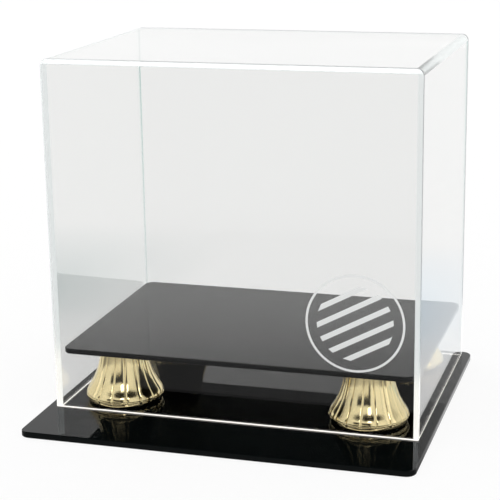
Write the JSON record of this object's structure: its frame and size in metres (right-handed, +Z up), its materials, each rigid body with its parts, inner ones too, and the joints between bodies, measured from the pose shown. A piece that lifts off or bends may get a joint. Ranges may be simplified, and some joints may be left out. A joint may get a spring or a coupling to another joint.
{
  "type": "collectible display case",
  "caption": "Tabletop display case: clear lift-off cover over a black shelf on gold fluted risers and a black base plate.",
  "frame": {"origin": "centre of the base plate's underside", "axes": "+X to the right seen from the front, +Y from the front panel towards the back panel, +Z up"},
  "size_m": [0.2, 0.1756, 0.1845],
  "materials": {
    "black_acrylic": "cast black acrylic sheet, polished faces and edges",
    "gold_plastic": "vacuum-metallised gold on moulded plastic, mirror-like",
    "screw_steel": "zinc-plated steel",
    "adhesive_foam": "matt black double-sided adhesive foam",
    "clear_acrylic": "clear acrylic sheet, polished, with a pale blue-green tint on its edges",
    "frosted_etch": "laser-frosted white mark on the front panel"
  },
  "bodies": {
    "base": {"base_plate": "black_acrylic", "platform": "black_acrylic", "riser_front_left": "gold_plastic", "riser_front_right": "gold_plastic", "riser_back_left": "gold_plastic", "riser_back_right": "gold_plastic", "riser_screw_front_left": "screw_steel", "riser_screw_front_right": "screw_steel", "riser_screw_back_left": "screw_steel", "riser_screw_back_right": "screw_steel", "riser_pad_front_left": "adhesive_foam", "riser_pad_front_right": "adhesive_foam", "riser_pad_back_left": "adhesive_foam", "riser_pad_back_right": "adhesive_foam"},
    "cover": {"cover_wrap": "clear_acrylic", "cover_front_panel": "clear_acrylic", "cover_back_panel": "clear_acrylic"}
  },
  "joints": [
    {"name": "cover_lift", "type": "slide", "parent": "base", "child": "cover", "axis": [0, 0, 1], "range_m": [0, 0.2]}
  ]
}
